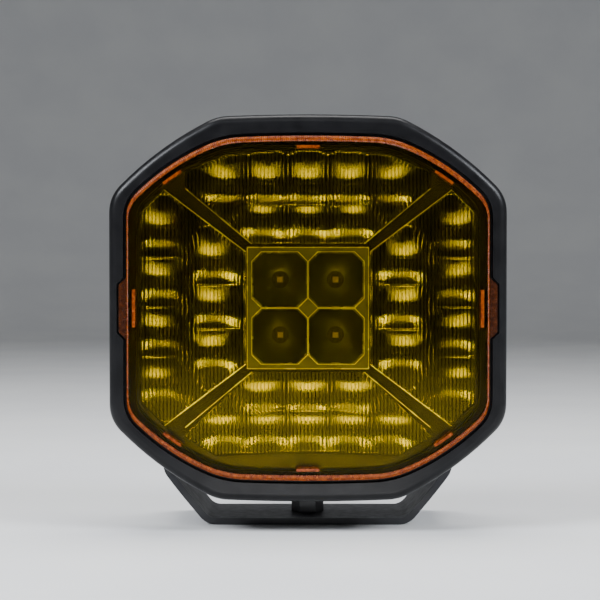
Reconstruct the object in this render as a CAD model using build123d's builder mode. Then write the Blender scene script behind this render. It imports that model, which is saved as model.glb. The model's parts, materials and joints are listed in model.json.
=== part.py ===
from build123d import *
import math
import os

os.makedirs("parts", exist_ok=True)

# Millimetres. The lamp faces -Y, +X is to its right as seen from the front, +Z is up.
# The origin is on the underside of the bracket's base, on the axis of its mounting bolt.

# ---- Driving dimensions ----
PIVOT_Z = 130.0                # height of the tilt axis, which runs along X through the face's centre
FACE_Y = -67.0                 # front face of the bezel
CUT = 0.3                      # gap left between pieces that must not touch

BEZEL_HALF_WIDTH = 114.4
WINDOW_HALF_WIDTH = 103.9
BEZEL_DEPTH = 22.0
BEZEL_BACK_Y = FACE_Y + BEZEL_DEPTH
LIP_FRONT_Y = FACE_Y + 5.0     # the bezel's inner lip, which holds the lens down
LIP_BACK_Y = LIP_FRONT_Y + 3.0
LENS_BACK_Y = LIP_BACK_Y + 3.0
GASKET_BACK_Y = LENS_BACK_Y + 2.0
DIFFUSER_BACK_Y = LENS_BACK_Y + 4.5
REFLECTOR_BACK_Y = DIFFUSER_BACK_Y + 17.5
BOARD_BACK_Y = REFLECTOR_BACK_Y + 2.0
PAD_BACK_Y = BOARD_BACK_Y + 1.0
FLOOR_BACK_Y = PAD_BACK_Y + 5.0
POCKET_BACK_Y = FLOOR_BACK_Y + 44.0

BRACKET_PLATE = 4.0
ARM_OUTER_X = 87.0
ARM_INNER_X = ARM_OUTER_X - BRACKET_PLATE
ARM_END_R = 13.0
BASE_HALF_DEPTH = 30.0
BUSH_THICKNESS = 2.0
BOSS_FACE_X = ARM_INNER_X - BUSH_THICKNESS - 0.1
BOLT_R = 4.0

CELL_PITCH = 32.8              # the four deep cups in the middle
CELL_WALL = 1.4
CENTRE_HALF = 35.2
LED_SIDE = 3.5
LED_HEIGHT = 2.2

THREAD_CLEARANCE = 0.05        # round a screw or bolt in its own threaded hole
SCREW_R = 2.0                  # bezel and rear-cover screws
SMALL_SCREW_R = 1.5            # circuit-board screws
SCREW_HOLE_GAP = 0.2           # round a screw where it only passes through
SAME_PLACE = 0.01
SMALLEST_CORNER = 2.0


# ---- Shared outlines and planes ----
def face_plane(y):
    """The plane across the head at depth y, centred on the tilt axis and looking forwards."""
    return Plane(origin=(0, y, PIVOT_Z), x_dir=(1, 0, 0), z_dir=(0, -1, 0))


def back_plane(y):
    """The same plane looking backwards; its X points the other way."""
    return Plane(origin=(0, y, PIVOT_Z), x_dir=(-1, 0, 0), z_dir=(0, 1, 0))


def eight_sided(width, height, side, top, bow, crown, side_radius, top_radius, grow):
    """An outline with upright sides, bowed cut corners and a crowned top and bottom, grown outwards."""
    run, rise = width - top, height - crown - side
    slope = math.hypot(run, rise)
    lean_x, lean_z = rise / slope, run / slope
    # Each corner moves out along the bisector of its two edges.
    width, height = width + grow, height + grow
    side += grow * lean_z / (1 + lean_x)
    top += grow * lean_x / (1 + lean_z)
    shoulder = height - crown
    mid_x = (width + top) / 2 + bow * lean_x
    mid_z = (side + shoulder) / 2 + bow * lean_z
    with BuildSketch() as outline:
        with BuildLine():
            Line((width, -side), (width, side))
            ThreePointArc((width, side), (mid_x, mid_z), (top, shoulder))
            ThreePointArc((top, shoulder), (0, height), (-top, shoulder))
            ThreePointArc((-top, shoulder), (-mid_x, mid_z), (-width, side))
            Line((-width, side), (-width, -side))
            ThreePointArc((-width, -side), (-mid_x, -mid_z), (-top, -shoulder))
            ThreePointArc((-top, -shoulder), (0, -height), (top, -shoulder))
            ThreePointArc((top, -shoulder), (mid_x, -mid_z), (width, -side))
        make_face()
        for reach, radius in ((width, side_radius), (top, top_radius)):
            ends = [v for v in outline.vertices() if abs(abs(v.X) - reach) < SAME_PLACE]
            fillet(ends, max(radius + grow, SMALLEST_CORNER))
    return outline.sketch


def bezel_outline(grow=0.0):
    """The bezel's outer edge, offset."""
    return eight_sided(BEZEL_HALF_WIDTH, 111.5, 64.0, 52.0, 3.9, 1.2, 22.0, 28.0, grow)


def window_outline(grow=0.0):
    """The amber cover's edge, offset; the lens, the tub and the trim all follow it."""
    return eight_sided(WINDOW_HALF_WIDTH, 98.8, 60.1, 47.0, 4.4, 1.2, 20.0, 58.0, grow)


def grown(shape, amount):
    """A straight-sided sketch offset outwards, or inwards when the amount is negative."""
    with BuildSketch() as result:
        add(shape)
        if amount:
            offset(amount=amount, kind=Kind.INTERSECTION)
    return result.sketch


def side_panel_outline(hand, amount=0.0):
    """The beam panel beside the centre block; hand is 1 for +X and -1 for -X."""
    corners = [(36.1, -32.7), (83.2, -68.4), (96.8, -55.0), (96.8, 55.0), (83.2, 68.4), (36.1, 32.7)]
    with BuildSketch() as outline:
        with BuildLine():
            Polyline([(hand * x, z) for x, z in corners], close=True)
        make_face()
    return grown(outline.sketch, amount)


def top_panel_outline(amount=0.0):
    """The beam panel above the centre block, with a crowned upper edge."""
    with BuildSketch() as outline:
        with BuildLine():
            Polyline((-47.6, 88.8), (-71.1, 78.5), (-71.1, 69.3), (-32.7, 37.2), (32.7, 37.2),
                     (71.1, 69.3), (71.1, 78.5), (47.6, 88.8))
            ThreePointArc((47.6, 88.8), (0, 91.7), (-47.6, 88.8))
        make_face()
    return grown(outline.sketch, amount)


def bottom_panel_outline(amount=0.0):
    """The beam panel below the centre block, with its lower edge bowed up a little."""
    with BuildSketch() as outline:
        with BuildLine():
            Polyline((53.3, -86.0), (72.2, -74.6), (32.7, -37.2), (-32.7, -37.2),
                     (-72.2, -74.6), (-53.3, -86.0))
            ThreePointArc((-53.3, -86.0), (0, -84.4), (53.3, -86.0))
        make_face()
    return grown(outline.sketch, amount)


def row(count, pitch, z):
    """Places of a level row of cells centred on X = 0."""
    return [((i - (count - 1) / 2) * pitch, z) for i in range(count)]


def column(count, pitch, x):
    """Places of an upright column of cells centred on Z = 0."""
    return [(x, (i - (count - 1) / 2) * pitch) for i in range(count)]


TOP_CELLS = row(5, 23.4, 69.6) + row(3, 25.6, 50.0)
BOTTOM_CELLS = row(5, 23.4, -70.2) + row(3, 25.6, -51.6)
CENTRE_CELLS = [(x * CELL_PITCH / 2, z * CELL_PITCH / 2) for x in (-1, 1) for z in (-1, 1)]
BOARD_SCREWS = [(x * 60.0, z * 55.8) for x in (-1, 1) for z in (-1, 1)]
BEZEL_SCREWS = [(x * 109.0, z * 36.0) for x in (-1, 1) for z in (-1, 1)]
BEZEL_SCREWS += [(x * 36.0, z * 105.0) for x in (-1, 1) for z in (-1, 1)]


def side_cells(hand):
    """Cell places of a side panel: an outer column of four and an inner column of three."""
    return column(4, 29.0, hand * 84.0) + column(3, 25.8, hand * 54.0)


def save(piece, name):
    """Label a finished piece and write its STEP file."""
    piece.part.label = name
    export_step(piece.part, f"parts/{name}.step")


# ---- Bracket: one folded plate, cut to a bottle shape as seen from the side ----
BEND_R = 13.0
FOLD_X = 60.3                  # where the flat base turns up towards the arms
FOLD_Z = 31.8                  # where the sloping part meets the upright arm
SHOULDER_Z = 58.0              # above this height the arms are as narrow as their rounded ends
HIP_Z = 12.0                   # up to this height the plate keeps the base's full depth
ARM_HOLE_GAP = 0.08
MOUNT_HOLE_R = 5.25

with BuildPart() as bracket:
    with BuildSketch(Plane.XZ.offset(-BASE_HALF_DEPTH)):
        with BuildLine():
            skin = FilletPolyline(
                (-ARM_OUTER_X, PIVOT_Z + ARM_END_R), (-ARM_OUTER_X, FOLD_Z), (-FOLD_X, 0),
                (FOLD_X, 0), (ARM_OUTER_X, FOLD_Z), (ARM_OUTER_X, PIVOT_Z + ARM_END_R),
                radius=BEND_R,
            )
            offset(skin, amount=BRACKET_PLATE, side=Side.LEFT)
        make_face()
    extrude(amount=2 * BASE_HALF_DEPTH)
    with BuildSketch(Plane.YZ.offset(-ARM_OUTER_X)):
        with BuildLine():
            Line((BASE_HALF_DEPTH, 0), (-BASE_HALF_DEPTH, 0))
            Line((-BASE_HALF_DEPTH, 0), (-BASE_HALF_DEPTH, HIP_Z))
            Spline((-BASE_HALF_DEPTH, HIP_Z), (-ARM_END_R, SHOULDER_Z), tangents=((0, 1), (0, 1)))
            Line((-ARM_END_R, SHOULDER_Z), (-ARM_END_R, PIVOT_Z))
            ThreePointArc((-ARM_END_R, PIVOT_Z), (0, PIVOT_Z + ARM_END_R), (ARM_END_R, PIVOT_Z))
            Line((ARM_END_R, PIVOT_Z), (ARM_END_R, SHOULDER_Z))
            Spline((ARM_END_R, SHOULDER_Z), (BASE_HALF_DEPTH, HIP_Z), tangents=((0, -1), (0, -1)))
            Line((BASE_HALF_DEPTH, HIP_Z), (BASE_HALF_DEPTH, 0))
        make_face()
    extrude(amount=2 * ARM_OUTER_X, mode=Mode.INTERSECT)
    with BuildSketch(Plane.YZ.offset(-ARM_OUTER_X)):
        with Locations((0, PIVOT_Z)):
            Circle(BOLT_R + ARM_HOLE_GAP)
    extrude(amount=2 * ARM_OUTER_X, mode=Mode.SUBTRACT)
    with BuildSketch(Plane.XY):
        Circle(MOUNT_HOLE_R)
    extrude(amount=BRACKET_PLATE, mode=Mode.SUBTRACT)
save(bracket, "bracket")

# The captive M10 nut on top of the base.
MOUNT_NUT_HEIGHT = 8.0
MOUNT_NUT_R = 17.0 / math.sqrt(3)
MOUNT_THREAD_R = 4.25
MOUNT_NUT_CHAMFER = 0.8
with BuildPart() as mount_nut:
    with BuildSketch(Plane.XY.offset(BRACKET_PLATE)):
        RegularPolygon(MOUNT_NUT_R, 6)
        Circle(MOUNT_THREAD_R, mode=Mode.SUBTRACT)
    extrude(amount=MOUNT_NUT_HEIGHT)
    chamfer(mount_nut.edges().group_by(Axis.Z)[-1].filter_by(GeomType.LINE), length=MOUNT_NUT_CHAMFER)
save(mount_nut, "mount_nut")

# ---- Housing: tub, flange, heat-sink fins, pivot bosses and driver pocket ----
WALL_GROW = 1.0
CAVITY_GROW = -5.5
TUB_CHAMFER = 6.0
FLANGE_THICKNESS = 6.0
FLANGE_GROW = -1.5
FIN_THICKNESS = 2.4
FIN_PITCH = 9.6
FIN_COUNT = 16
FIN_GROW = -25.0
FIN_HALF = 76.0                # half the height of the longest fins
FIN_SLOPE = 14.0
FIN_BACK_Y = FLOOR_BACK_Y + 40.0
POCKET = (96.0, 68.0)
POCKET_WALL = 4.0
POCKET_CORNER = 8.0
PIVOT_BOSS_R = 12.0
SCREW_BOSS_R = 4.5
POST_R = 3.5
COVER_SCREW_DEPTH = 14.0
COVER_SCREWS = [(x * 42.5, z * 28.5) for x in (-1, 1) for z in (-1, 1)]
DRIVER_POSTS = [(x * 33.0, z * 19.0) for x in (-1, 1) for z in (-1, 1)]
DRIVER_FRONT_Y = FLOOR_BACK_Y + 10.0

# Upright fins, trimmed to a smaller eight-sided outline and sloping in towards the back.
with BuildPart() as fins:
    with BuildSketch(back_plane(FLOOR_BACK_Y)):
        with GridLocations(FIN_PITCH, 0, FIN_COUNT, 1):
            Rectangle(FIN_THICKNESS, 2 * FIN_HALF)
        add(window_outline(FIN_GROW), mode=Mode.INTERSECT)
    extrude(amount=FIN_BACK_Y - FLOOR_BACK_Y)
    with BuildSketch(Plane.YZ.offset(-ARM_INNER_X)):
        with BuildLine():
            Polyline((FLOOR_BACK_Y, PIVOT_Z - FIN_HALF), (FLOOR_BACK_Y, PIVOT_Z + FIN_HALF),
                     (FIN_BACK_Y, PIVOT_Z + FIN_HALF - FIN_SLOPE),
                     (FIN_BACK_Y, PIVOT_Z - FIN_HALF + FIN_SLOPE), close=True)
        make_face()
    extrude(amount=2 * ARM_INNER_X, mode=Mode.INTERSECT)

with BuildPart() as housing:
    with BuildSketch(face_plane(FLOOR_BACK_Y)):
        add(window_outline(WALL_GROW))
    extrude(amount=FLOOR_BACK_Y - GASKET_BACK_Y)
    chamfer(housing.faces().sort_by(Axis.Y)[-1].edges(), length=TUB_CHAMFER)
    with BuildSketch(face_plane(BEZEL_BACK_Y + FLANGE_THICKNESS)):
        add(bezel_outline(FLANGE_GROW))
    extrude(amount=FLANGE_THICKNESS)
    with BuildSketch(face_plane(PAD_BACK_Y)):
        add(window_outline(CAVITY_GROW))
    extrude(amount=PAD_BACK_Y - GASKET_BACK_Y, mode=Mode.SUBTRACT)
    add(fins.part)
    # Pivot bosses.
    with BuildSketch(Plane.YZ.offset(-BOSS_FACE_X)):
        with Locations((0, PIVOT_Z)):
            Circle(PIVOT_BOSS_R)
        with Locations((FLOOR_BACK_Y / 2, PIVOT_Z)):
            Rectangle(abs(FLOOR_BACK_Y), 2 * PIVOT_BOSS_R)
    extrude(amount=2 * BOSS_FACE_X)
    # Driver pocket with four screw bosses in its corners.
    with BuildSketch(back_plane(FLOOR_BACK_Y)):
        RectangleRounded(*POCKET, POCKET_CORNER)
    extrude(amount=POCKET_BACK_Y - FLOOR_BACK_Y)
    with BuildSketch(back_plane(FLOOR_BACK_Y)):
        RectangleRounded(POCKET[0] - 2 * POCKET_WALL, POCKET[1] - 2 * POCKET_WALL, POCKET_CORNER / 2)
        with Locations(COVER_SCREWS):
            Circle(SCREW_BOSS_R, mode=Mode.SUBTRACT)
    extrude(amount=POCKET_BACK_Y - FLOOR_BACK_Y, mode=Mode.SUBTRACT)
    with BuildSketch(back_plane(FLOOR_BACK_Y)):
        with Locations(DRIVER_POSTS):
            Circle(POST_R)
    extrude(amount=DRIVER_FRONT_Y - FLOOR_BACK_Y)
    # Screw holes.
    with Locations(back_plane(POCKET_BACK_Y)):
        with Locations(COVER_SCREWS):
            Hole(SCREW_R + THREAD_CLEARANCE, depth=COVER_SCREW_DEPTH)
    with Locations(back_plane(DRIVER_FRONT_Y)):
        with Locations(DRIVER_POSTS):
            Hole(SMALL_SCREW_R + THREAD_CLEARANCE, depth=8.0)
    with Locations(face_plane(PAD_BACK_Y)):
        with Locations(BOARD_SCREWS):
            Hole(SMALL_SCREW_R + THREAD_CLEARANCE, depth=4.0)
    with Locations(back_plane(BEZEL_BACK_Y + FLANGE_THICKNESS)):
        with Locations(BEZEL_SCREWS):
            Hole(SCREW_R + THREAD_CLEARANCE, depth=FLANGE_THICKNESS)
    for side in (-1, 1):
        with Locations(Plane(origin=(side * BOSS_FACE_X, 0, PIVOT_Z), z_dir=(side, 0, 0))):
            Hole(BOLT_R + THREAD_CLEARANCE, depth=20.0)
save(housing, "housing")

# ---- Bezel: an eight-sided ring with a recess for the amber cover and two side notches ----
RECESS_GROW = 2.0
LIP_GROW = -5.0
LENS_GROW = 0.5
NOTCH_DEPTH = 4.0
NOTCH_GAP = 1.0                # clear space left round the cover's pull tabs
FACE_ROUND = 5.0
BACK_CHAMFER = 1.0
TAB_OUT = 4.8                  # how far the tabs stick out beyond the cover's edge
TAB_ROOT_HALF = 18.4           # half the tab's height where it leaves the edge


def tab_outline(gap=0.0):
    """Both pull tabs with their ends cut at 45 degrees, joined across the lamp."""
    root = WINDOW_HALF_WIDTH
    tip = root + TAB_OUT + gap
    root_half = TAB_ROOT_HALF + 1.4 * gap
    tip_half = root_half - TAB_OUT - gap
    with BuildSketch() as outline:
        with BuildLine():
            Polyline((root, root_half), (tip, tip_half), (tip, -tip_half), (root, -root_half),
                     (-root, -root_half), (-tip, -tip_half), (-tip, tip_half), (-root, root_half),
                     close=True)
        make_face()
    return outline.sketch


with BuildPart() as bezel:
    with BuildSketch(face_plane(BEZEL_BACK_Y)):
        add(bezel_outline())
    extrude(amount=BEZEL_DEPTH)
    fillet(bezel.faces().sort_by(Axis.Y)[0].edges(), radius=FACE_ROUND)
    chamfer(bezel.faces().sort_by(Axis.Y)[-1].edges(), length=BACK_CHAMFER)
    with BuildSketch(face_plane(LIP_FRONT_Y)):
        add(window_outline(RECESS_GROW))
    extrude(amount=LIP_FRONT_Y - FACE_Y, mode=Mode.SUBTRACT)
    with BuildSketch(face_plane(LIP_BACK_Y)):
        add(window_outline(LIP_GROW))
    extrude(amount=LIP_BACK_Y - FACE_Y, mode=Mode.SUBTRACT)
    with BuildSketch(face_plane(BEZEL_BACK_Y)):
        add(window_outline(WALL_GROW + CUT))
    extrude(amount=BEZEL_BACK_Y - LIP_BACK_Y, mode=Mode.SUBTRACT)
    with BuildSketch(face_plane(FACE_Y + NOTCH_DEPTH)):
        add(tab_outline(NOTCH_GAP))
    extrude(amount=NOTCH_DEPTH, mode=Mode.SUBTRACT)
    with Locations(back_plane(BEZEL_BACK_Y)):
        with Locations(BEZEL_SCREWS):
            Hole(SCREW_R + THREAD_CLEARANCE, depth=9.0)
save(bezel, "bezel")


PAN_HEAD = (3.4, 2.6)          # radius and height of a screw's head
SMALL_PAN_HEAD = (2.7, 2.0)
SOCKET_DEPTH = 1.2


def pan_screws(plane, places, radius, length, head_radius, head_height):
    """Pan-head screws standing in the plane's points, their shanks running down behind it."""
    with BuildPart() as screws:
        with BuildSketch(plane):
            with Locations(places):
                Circle(radius)
        extrude(amount=-length)
        with BuildSketch(plane):
            with Locations(places):
                Circle(head_radius)
        extrude(amount=head_height)
        with BuildSketch(plane.offset(head_height - SOCKET_DEPTH)):
            with Locations(places):
                RegularPolygon(head_radius / 2, 6)
        extrude(amount=SOCKET_DEPTH, mode=Mode.SUBTRACT)
    return screws


bezel_screws = pan_screws(back_plane(BEZEL_BACK_Y + FLANGE_THICKNESS), BEZEL_SCREWS, SCREW_R,
                          FLANGE_THICKNESS + 8.0, *PAN_HEAD)
save(bezel_screws, "bezel_screws")

# ---- Clear lens and its gasket ----
with BuildPart() as lens:
    with BuildSketch(face_plane(LENS_BACK_Y)):
        add(window_outline(LENS_GROW))
    extrude(amount=LENS_BACK_Y - LIP_BACK_Y)
save(lens, "lens")

with BuildPart() as lens_gasket:
    with BuildSketch(face_plane(GASKET_BACK_Y)):
        add(window_outline(0))
        add(window_outline(CAVITY_GROW + 1.0), mode=Mode.SUBTRACT)
    extrude(amount=GASKET_BACK_Y - LENS_BACK_Y)
save(lens_gasket, "lens_gasket")

# ---- Amber cover: a shallow cap with two pull tabs and six spring legs ----
COVER_FRONT_Y = FACE_Y - 2.5
COVER_PLATE = 2.2
COVER_CHAMFER = 1.4
SKIRT_WALL = 2.4
SKIRT_BACK_Y = LIP_FRONT_Y - CUT
TAB_THICKNESS = 2.6
RIB_X = 99.6                   # upright ribs just inside the cover's rim, beside the tabs
RIB_SIZE = (1.8, 20.0)
LEG_WIDTH = 12.0
LEG_WALL = 1.6
LEG_REACH = 6.0
LEG_BACK_Y = LIP_BACK_Y - 0.6
LEG_PLACES = [(0, 94.0, 0), (0, -94.0, 0), (78.5, 75.5, 36), (-78.5, 75.5, -36),
              (78.5, -75.5, -36), (-78.5, -75.5, 36)]

with BuildPart() as amber_cover:
    with BuildSketch(face_plane(SKIRT_BACK_Y)):
        add(window_outline())
    extrude(amount=SKIRT_BACK_Y - COVER_FRONT_Y)
    chamfer(amber_cover.faces().sort_by(Axis.Y)[0].edges(), length=COVER_CHAMFER)
    with BuildSketch(face_plane(FACE_Y + TAB_THICKNESS)):
        add(tab_outline())
    extrude(amount=TAB_THICKNESS)
    with BuildSketch(face_plane(SKIRT_BACK_Y)):
        add(window_outline(-SKIRT_WALL))
    extrude(amount=SKIRT_BACK_Y - COVER_FRONT_Y - COVER_PLATE, mode=Mode.SUBTRACT)
    with BuildSketch(face_plane(SKIRT_BACK_Y)):
        with Locations((-RIB_X, 0), (RIB_X, 0)):
            Rectangle(*RIB_SIZE)
    extrude(amount=SKIRT_BACK_Y - COVER_FRONT_Y - COVER_PLATE)
    # Legs that hang from the plate and grip the inside of the bezel's lip.
    with BuildSketch(face_plane(LEG_BACK_Y)):
        for x, z, turn in LEG_PLACES:
            with Locations(Location((x, z, 0), (0, 0, -turn))):
                Rectangle(LEG_WIDTH, LEG_REACH)
        add(window_outline(LIP_GROW - CUT), mode=Mode.INTERSECT)
        add(window_outline(LIP_GROW - CUT - LEG_WALL), mode=Mode.SUBTRACT)
    extrude(amount=LEG_BACK_Y - COVER_FRONT_Y - COVER_PLATE)
save(amber_cover, "amber_cover")

# ---- Fluted beam panels and the dark frame between them ----
FLUTE_PITCH = 2.1
FLUTE_RISE = 0.55
FLUTE_COUNT = 94
FLUTE_LENGTH = 200.0           # longer than the tallest panel
DIFFUSER_THICKNESS = 3.0
FRAME_FRONT_Y = LENS_BACK_Y + 0.5
FRAME_BACK_Y = DIFFUSER_BACK_Y
PANEL_GAP = 0.2


def fluted_panel(outline):
    """A clear plate with rounded upright flutes across its front."""
    crest_y = DIFFUSER_BACK_Y - DIFFUSER_THICKNESS
    groove_y = crest_y + FLUTE_RISE
    start = -FLUTE_COUNT / 2 * FLUTE_PITCH
    with BuildPart() as panel:
        with BuildSketch(Plane.XY.offset(PIVOT_Z - FLUTE_LENGTH / 2)):
            with BuildLine():
                for i in range(FLUTE_COUNT):
                    left = start + i * FLUTE_PITCH
                    ThreePointArc((left, groove_y), (left + FLUTE_PITCH / 2, crest_y),
                                  (left + FLUTE_PITCH, groove_y))
                Polyline((-start, groove_y), (-start, DIFFUSER_BACK_Y),
                         (start, DIFFUSER_BACK_Y), (start, groove_y))
            make_face()
        extrude(amount=FLUTE_LENGTH)
        with BuildSketch(face_plane(DIFFUSER_BACK_Y)):
            add(outline)
        extrude(amount=DIFFUSER_THICKNESS, mode=Mode.INTERSECT)
    return panel


PANELS = {
    "top": (top_panel_outline, TOP_CELLS),
    "bottom": (bottom_panel_outline, BOTTOM_CELLS),
    "left": (lambda amount=0.0: side_panel_outline(-1, amount), side_cells(-1)),
    "right": (lambda amount=0.0: side_panel_outline(1, amount), side_cells(1)),
}

for place, (outline, _) in PANELS.items():
    save(fluted_panel(outline(-PANEL_GAP)), f"diffuser_{place}")

BAND_SINK = 1.6
BAND_LIP = 0.7


def band_floor(flip_x, flip_z):
    """The sunk floor of one diagonal band, between a side panel and the panel above or below it."""
    corners = [(35.0, 35.0), (36.1, 32.7), (83.2, 68.4), (77.6, 74.0), (71.1, 69.3), (32.7, 37.2)]
    with BuildSketch() as outline:
        with BuildLine():
            Polyline([(flip_x * x, flip_z * z) for x, z in corners], close=True)
        make_face()
    return grown(outline.sketch, -BAND_LIP)


with BuildPart() as spoke_frame:
    with BuildSketch(face_plane(FRAME_BACK_Y)):
        add(window_outline(CAVITY_GROW - CUT))
        for outline, _ in PANELS.values():
            add(outline(), mode=Mode.SUBTRACT)
        Rectangle(2 * CENTRE_HALF + CUT, 2 * CENTRE_HALF + CUT, mode=Mode.SUBTRACT)
    extrude(amount=FRAME_BACK_Y - FRAME_FRONT_Y)
    # The diagonal bands are sunk, which leaves a fine lip along each panel.
    for flip_x in (-1, 1):
        for flip_z in (-1, 1):
            with BuildSketch(face_plane(FRAME_FRONT_Y + BAND_SINK)):
                add(band_floor(flip_x, flip_z))
            extrude(amount=BAND_SINK, mode=Mode.SUBTRACT)
save(spoke_frame, "spoke_frame")


# ---- Reflectors ----
CURVE_STEPS = 6


def bowl(focal_length, depth):
    """A paraboloid of the given depth, its apex at the reflector's back and its axis along Y."""
    rim = math.sqrt(4 * focal_length * depth)
    radii = [rim * i / CURVE_STEPS for i in range(CURVE_STEPS + 1)]
    with BuildPart() as solid:
        with BuildSketch(Plane.XY):
            with BuildLine():
                Spline([(r, -r * r / (4 * focal_length)) for r in radii],
                       tangents=((1, 0), (rim, -2 * depth)))
                Polyline((rim, -depth), (0, -depth), (0, 0))
            make_face()
        revolve(axis=Axis.Y)
    return solid.part


BOWL_DEPTH = REFLECTOR_BACK_Y - DIFFUSER_BACK_Y
BOWL_FOCUS = 3.6
OUTSIDE_FOCUS = BOWL_FOCUS + 0.7
BOWL_WALL = 1.3
RIM_WALL = 0.8
RIM_START_Y = REFLECTOR_BACK_Y - 5.0
RIM_PLATE = 1.2
LED_HOLE_R = 3.0
LED_HOLE_DEPTH = 4.6
CENTRE_HOLE_R = 5.2


def bowl_row(places, focal_length, depth, back_y):
    """Paraboloids standing side by side with their apexes at the depth back_y."""
    cup = bowl(focal_length, depth)
    with BuildPart() as cups:
        with Locations([Location((x, back_y, PIVOT_Z + z)) for x, z in places]):
            add(cup)
    return cups.part


def panel_reflector(outline, cells):
    """A moulded shell of overlapping bowls inside a thin rim wall."""
    outside = bowl_row(cells, OUTSIDE_FOCUS, BOWL_DEPTH, REFLECTOR_BACK_Y)
    inside = bowl_row(cells, BOWL_FOCUS, BOWL_DEPTH, REFLECTOR_BACK_Y - BOWL_WALL)
    with BuildPart() as reflector:
        add(outside)
        with BuildSketch(face_plane(REFLECTOR_BACK_Y)):
            add(outline(RIM_WALL))
        extrude(amount=BOWL_DEPTH, mode=Mode.INTERSECT)
        with BuildSketch(face_plane(RIM_START_Y)):
            add(outline(RIM_WALL))
            add(outline(0), mode=Mode.SUBTRACT)
        extrude(amount=RIM_START_Y - DIFFUSER_BACK_Y)
        with BuildSketch(face_plane(DIFFUSER_BACK_Y + RIM_PLATE)):
            add(outline(RIM_WALL))
        extrude(amount=RIM_PLATE)
        add(inside, mode=Mode.SUBTRACT)
        with Locations(face_plane(REFLECTOR_BACK_Y)):
            with Locations(cells):
                Cylinder(LED_HOLE_R, LED_HOLE_DEPTH, mode=Mode.SUBTRACT)
    return reflector


for place, (outline, cells) in PANELS.items():
    save(panel_reflector(outline, cells), f"reflector_{place}")

# The block of four deep cups with cut corners in the middle.
CUP_DEPTH = REFLECTOR_BACK_Y - FRAME_FRONT_Y
CUP_SIDE = CELL_PITCH - CELL_WALL
CUP_CORNER = 5.5
CUP_FOCUS = 5.2
CUP_EDGE = 0.45
with BuildPart() as cup_space:
    add(bowl_row(CENTRE_CELLS, CUP_FOCUS, CUP_DEPTH, REFLECTOR_BACK_Y - BOWL_WALL))
    with BuildSketch(face_plane(REFLECTOR_BACK_Y)) as openings:
        with Locations(CENTRE_CELLS):
            Rectangle(CUP_SIDE, CUP_SIDE)
        chamfer(openings.vertices(), length=CUP_CORNER)
    extrude(amount=CUP_DEPTH, mode=Mode.INTERSECT)

with BuildPart() as centre_reflector:
    with BuildSketch(face_plane(REFLECTOR_BACK_Y)):
        Rectangle(2 * CENTRE_HALF, 2 * CENTRE_HALF)
    extrude(amount=CUP_DEPTH)
    add(cup_space.part, mode=Mode.SUBTRACT)
    with Locations(face_plane(REFLECTOR_BACK_Y)):
        with Locations(CENTRE_CELLS):
            Cylinder(CENTRE_HOLE_R, CUP_DEPTH / 2, mode=Mode.SUBTRACT)
    chamfer(centre_reflector.faces().sort_by(Axis.Y)[0].edges(), length=CUP_EDGE)
save(centre_reflector, "centre_reflector")

# ---- LED board with its LEDs, screws and thermal pad ----
BOARD_THICKNESS = 1.6
BOARD_FRONT_Y = BOARD_BACK_Y - BOARD_THICKNESS
BOARD_GROW = CAVITY_GROW - 1.0
LED_CHAMFER = 0.5


def leds(places):
    """Square LED packages on the front of the board."""
    with BuildPart() as packages:
        with BuildSketch(face_plane(BOARD_FRONT_Y)):
            with Locations(places):
                Rectangle(LED_SIDE, LED_SIDE)
        extrude(amount=LED_HEIGHT)
        chamfer(packages.faces().filter_by(Axis.Y).group_by(Axis.Y)[0].edges(), length=LED_CHAMFER)
    return packages


with BuildPart() as led_board:
    with BuildSketch(face_plane(BOARD_BACK_Y)):
        add(window_outline(BOARD_GROW))
        with Locations(BOARD_SCREWS):
            Circle(SMALL_SCREW_R + SCREW_HOLE_GAP, mode=Mode.SUBTRACT)
    extrude(amount=BOARD_BACK_Y - BOARD_FRONT_Y)
save(led_board, "led_board")

with BuildPart() as thermal_pad:
    with BuildSketch(face_plane(PAD_BACK_Y)):
        add(window_outline(BOARD_GROW - 3.0))
        with Locations(BOARD_SCREWS):
            Circle(SMALL_SCREW_R + 1.5, mode=Mode.SUBTRACT)
    extrude(amount=PAD_BACK_Y - BOARD_BACK_Y)
save(thermal_pad, "thermal_pad")

save(leds(CENTRE_CELLS), "centre_leds")
save(leds([cell for _, cells in PANELS.values() for cell in cells]), "spread_leds")

led_board_screws = pan_screws(face_plane(BOARD_FRONT_Y), BOARD_SCREWS, SMALL_SCREW_R, 6.0,
                              *SMALL_PAN_HEAD)
save(led_board_screws, "led_board_screws")

# ---- Driver in the rear pocket ----
DRIVER_BOARD = (78.0, 50.0)
DRIVER_BOARD_BACK_Y = DRIVER_FRONT_Y + BOARD_THICKNESS
INDUCTOR_X = -18.0
INDUCTOR_R = 11.0
INDUCTOR_HOLE_R = 4.5
INDUCTOR_HEIGHT = 9.0
INDUCTOR_ROUND = 2.5
CAPACITOR_PLACES = [(4.0, 13.0), (4.0, -13.0)]
CAPACITOR_R = 5.0
CAPACITOR_HEIGHT = 13.0
CAPACITOR_ROUND = 0.8
CHIP_X = 22.0
CHIP_PITCH = 13.0
CHIP = (10.0, 7.0, 1.6)
with BuildPart() as driver_board:
    with BuildSketch(back_plane(DRIVER_FRONT_Y)):
        Rectangle(*DRIVER_BOARD)
        with Locations(DRIVER_POSTS):
            Circle(SMALL_SCREW_R + SCREW_HOLE_GAP, mode=Mode.SUBTRACT)
    extrude(amount=DRIVER_BOARD_BACK_Y - DRIVER_FRONT_Y)
save(driver_board, "driver_board")

driver_board_screws = pan_screws(back_plane(DRIVER_BOARD_BACK_Y), DRIVER_POSTS, SMALL_SCREW_R, 7.0,
                                 *SMALL_PAN_HEAD)
save(driver_board_screws, "driver_board_screws")

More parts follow.
